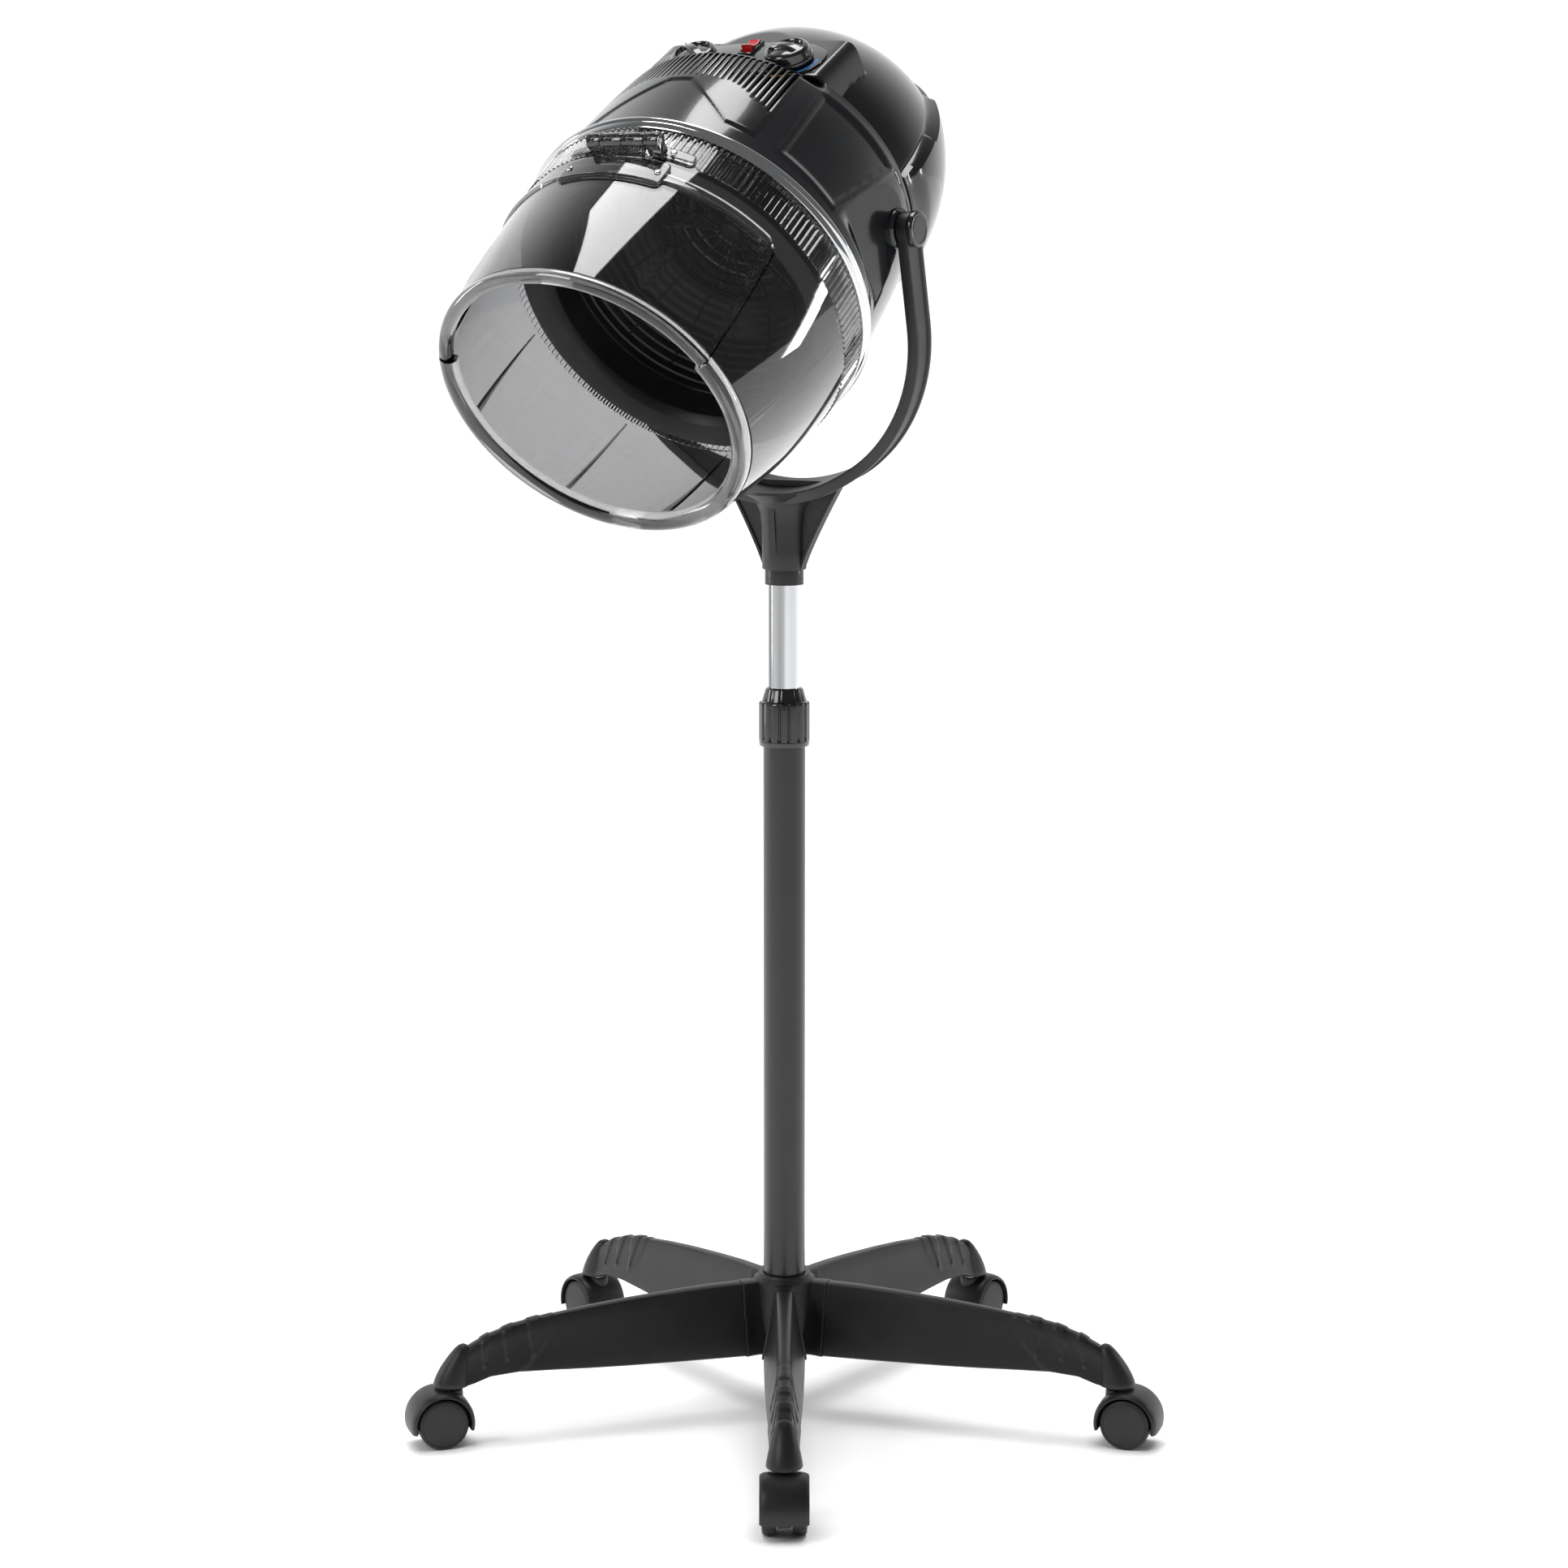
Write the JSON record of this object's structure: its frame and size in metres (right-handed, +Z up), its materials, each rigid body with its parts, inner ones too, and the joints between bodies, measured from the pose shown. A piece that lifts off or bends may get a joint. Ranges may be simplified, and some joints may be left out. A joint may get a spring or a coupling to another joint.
{
  "type": "hood hair dryer",
  "caption": "Hood hair dryer on a rolling five-star stand: tilting hood with smoked flip-up visor, swivelling yoke, telescopic column and twin-wheel casters.",
  "frame": {"origin": "the point on the floor under the centre of the column", "axes": "+Z up along the column; -Y towards the front arm of the base; the hood faces down and forward, turned towards -X"},
  "size_m": [0.7226, 0.7032, 1.3234],
  "materials": {
    "black_plastic": "fine moulded grain",
    "wheel_black": "satin",
    "gloss_black": "polished",
    "bowl_black": "satin",
    "panel_black": "satin, printed dial marks",
    "knob_black": "satin gloss",
    "red_plastic": "glossy translucent red",
    "smoked_clear": "clear smoked",
    "chrome": "polished",
    "steel": "zinc plated",
    "black_steel": "satin powder coat",
    "inner_plastic": "moulded",
    "motor_steel": "plain",
    "mica": "dull",
    "coil_wire": "wire"
  },
  "bodies": {
    "stand": {"base_hub": "black_plastic", "base_arm_1": "black_plastic", "base_arm_2": "black_plastic", "base_arm_3": "black_plastic", "base_arm_4": "black_plastic", "base_arm_5": "black_plastic", "caster_stems": "steel", "lower_tube": "black_steel", "base_bolt": "steel", "collet": "inner_plastic"},
    "collar": {"height_collar": "gloss_black"},
    "upper_column": {"upper_tube": "chrome", "guide_bush": "inner_plastic", "yoke_bush": "black_plastic"},
    "yoke": {"yoke": "black_plastic", "pivot_bolts": "steel", "pivot_caps": "black_plastic"},
    "hood": {"hood_shell": "gloss_black", "rear_cover": "gloss_black", "trim_ring": "chrome", "inner_bowl": "bowl_black", "fan_grille": "bowl_black", "shield": "smoked_clear", "hinge_base": "smoked_clear", "hinge_pin": "steel", "hinge_base_screws": "steel", "control_panel": "panel_black", "switch_housing": "knob_black", "timer_unit": "inner_plastic", "thermostat_unit": "inner_plastic", "motor": "motor_steel", "heater_frame": "mica", "heating_coil": "coil_wire"},
    "visor": {"visor": "smoked_clear", "hinge_leaf": "smoked_clear", "visor_screws": "steel"},
    "timer_knob": {"timer_knob": "knob_black"},
    "temperature_knob": {"temperature_knob": "knob_black"},
    "rocker": {"rocker": "red_plastic"},
    "fan": {"fan_impeller": "inner_plastic"},
    "caster_1": {"caster_1_housing": "black_plastic", "caster_1_axle": "steel"},
    "caster_1_wheel_left": {"caster_1_wheel_left": "wheel_black"},
    "caster_1_wheel_right": {"caster_1_wheel_right": "wheel_black"},
    "caster_2": {"caster_2_housing": "black_plastic", "caster_2_axle": "steel"},
    "caster_2_wheel_left": {"caster_2_wheel_left": "wheel_black"},
    "caster_2_wheel_right": {"caster_2_wheel_right": "wheel_black"},
    "caster_3": {"caster_3_housing": "black_plastic", "caster_3_axle": "steel"},
    "caster_3_wheel_left": {"caster_3_wheel_left": "wheel_black"},
    "caster_3_wheel_right": {"caster_3_wheel_right": "wheel_black"},
    "caster_4": {"caster_4_housing": "black_plastic", "caster_4_axle": "steel"},
    "caster_4_wheel_left": {"caster_4_wheel_left": "wheel_black"},
    "caster_4_wheel_right": {"caster_4_wheel_right": "wheel_black"},
    "caster_5": {"caster_5_housing": "black_plastic", "caster_5_axle": "steel"},
    "caster_5_wheel_left": {"caster_5_wheel_left": "wheel_black"},
    "caster_5_wheel_right": {"caster_5_wheel_right": "wheel_black"}
  },
  "joints": [
    {"name": "column_height", "type": "slide", "parent": "stand", "child": "upper_column", "axis": [0, 0, 1], "range_m": [-0.08, 0.17]},
    {"name": "yoke_swivel", "type": "hinge", "parent": "upper_column", "child": "yoke", "pos_m": [0, 0, 0.85], "axis": [0, 0, 1], "continuous": true},
    {"name": "hood_tilt", "type": "hinge", "parent": "yoke", "child": "hood", "pos_m": [-0.02883, -0.04859, 1.1388], "axis": [0.86, -0.5102, 0], "range_deg": [-30, 25]},
    {"name": "visor_flip", "type": "hinge", "parent": "hood", "child": "visor", "pos_m": [-0.1363, -0.25326, 1.21324], "axis": [-0.86, 0.5102, 0], "range_deg": [0, 100]},
    {"name": "collar_twist", "type": "hinge", "parent": "stand", "child": "collar", "pos_m": [0, 0, 0.68], "axis": [0, 0, 1], "range_deg": [0, 90]},
    {"name": "timer_turn", "type": "hinge", "parent": "hood", "child": "timer_knob", "pos_m": [-0.0802, -0.05482, 1.28901], "axis": [-0.2417, -0.4074, 0.8807], "range_deg": [-300, 0]},
    {"name": "temperature_turn", "type": "hinge", "parent": "hood", "child": "temperature_knob", "pos_m": [0.00409, -0.10482, 1.28901], "axis": [-0.2417, -0.4074, 0.8807], "range_deg": [-270, 0]},
    {"name": "switch_rock", "type": "hinge", "parent": "hood", "child": "rocker", "pos_m": [-0.0297, -0.05005, 1.2994], "axis": [0.86, -0.5102, 0], "range_deg": [0, 20]},
    {"name": "fan_spin", "type": "hinge", "parent": "hood", "child": "fan", "pos_m": [-0.02966, -0.05, 1.16198], "axis": [-0.4174, -0.7035, -0.5753], "continuous": true},
    {"name": "caster_1_swivel", "type": "hinge", "parent": "stand", "child": "caster_1", "pos_m": [0, -0.33, 0.05], "axis": [0, 0, 1], "continuous": true},
    {"name": "caster_1_left_roll", "type": "hinge", "parent": "caster_1", "child": "caster_1_wheel_left", "pos_m": [0, -0.343, 0.024], "axis": [1, 0, 0], "continuous": true},
    {"name": "caster_1_right_roll", "type": "hinge", "parent": "caster_1", "child": "caster_1_wheel_right", "pos_m": [0, -0.343, 0.024], "axis": [1, 0, 0], "continuous": true},
    {"name": "caster_2_swivel", "type": "hinge", "parent": "stand", "child": "caster_2", "pos_m": [0.31385, -0.10198, 0.05], "axis": [0, 0, 1], "continuous": true},
    {"name": "caster_2_left_roll", "type": "hinge", "parent": "caster_2", "child": "caster_2_wheel_left", "pos_m": [0.32621, -0.10599, 0.024], "axis": [0.309, 0.9511, 0], "continuous": true},
    {"name": "caster_2_right_roll", "type": "hinge", "parent": "caster_2", "child": "caster_2_wheel_right", "pos_m": [0.32621, -0.10599, 0.024], "axis": [0.309, 0.9511, 0], "continuous": true},
    {"name": "caster_3_swivel", "type": "hinge", "parent": "stand", "child": "caster_3", "pos_m": [0.19397, 0.26698, 0.05], "axis": [0, 0, 1], "continuous": true},
    {"name": "caster_3_left_roll", "type": "hinge", "parent": "caster_3", "child": "caster_3_wheel_left", "pos_m": [0.20161, 0.27749, 0.024], "axis": [-0.809, 0.5878, 0], "continuous": true},
    {"name": "caster_3_right_roll", "type": "hinge", "parent": "caster_3", "child": "caster_3_wheel_right", "pos_m": [0.20161, 0.27749, 0.024], "axis": [-0.809, 0.5878, 0], "continuous": true},
    {"name": "caster_4_swivel", "type": "hinge", "parent": "stand", "child": "caster_4", "pos_m": [-0.19397, 0.26698, 0.05], "axis": [0, 0, 1], "continuous": true},
    {"name": "caster_4_left_roll", "type": "hinge", "parent": "caster_4", "child": "caster_4_wheel_left", "pos_m": [-0.20161, 0.27749, 0.024], "axis": [-0.809, -0.5878, 0], "continuous": true},
    {"name": "caster_4_right_roll", "type": "hinge", "parent": "caster_4", "child": "caster_4_wheel_right", "pos_m": [-0.20161, 0.27749, 0.024], "axis": [-0.809, -0.5878, 0], "continuous": true},
    {"name": "caster_5_swivel", "type": "hinge", "parent": "stand", "child": "caster_5", "pos_m": [-0.31385, -0.10198, 0.05], "axis": [0, 0, 1], "continuous": true},
    {"name": "caster_5_left_roll", "type": "hinge", "parent": "caster_5", "child": "caster_5_wheel_left", "pos_m": [-0.32621, -0.10599, 0.024], "axis": [0.309, -0.9511, 0], "continuous": true},
    {"name": "caster_5_right_roll", "type": "hinge", "parent": "caster_5", "child": "caster_5_wheel_right", "pos_m": [-0.32621, -0.10599, 0.024], "axis": [0.309, -0.9511, 0], "continuous": true}
  ]
}
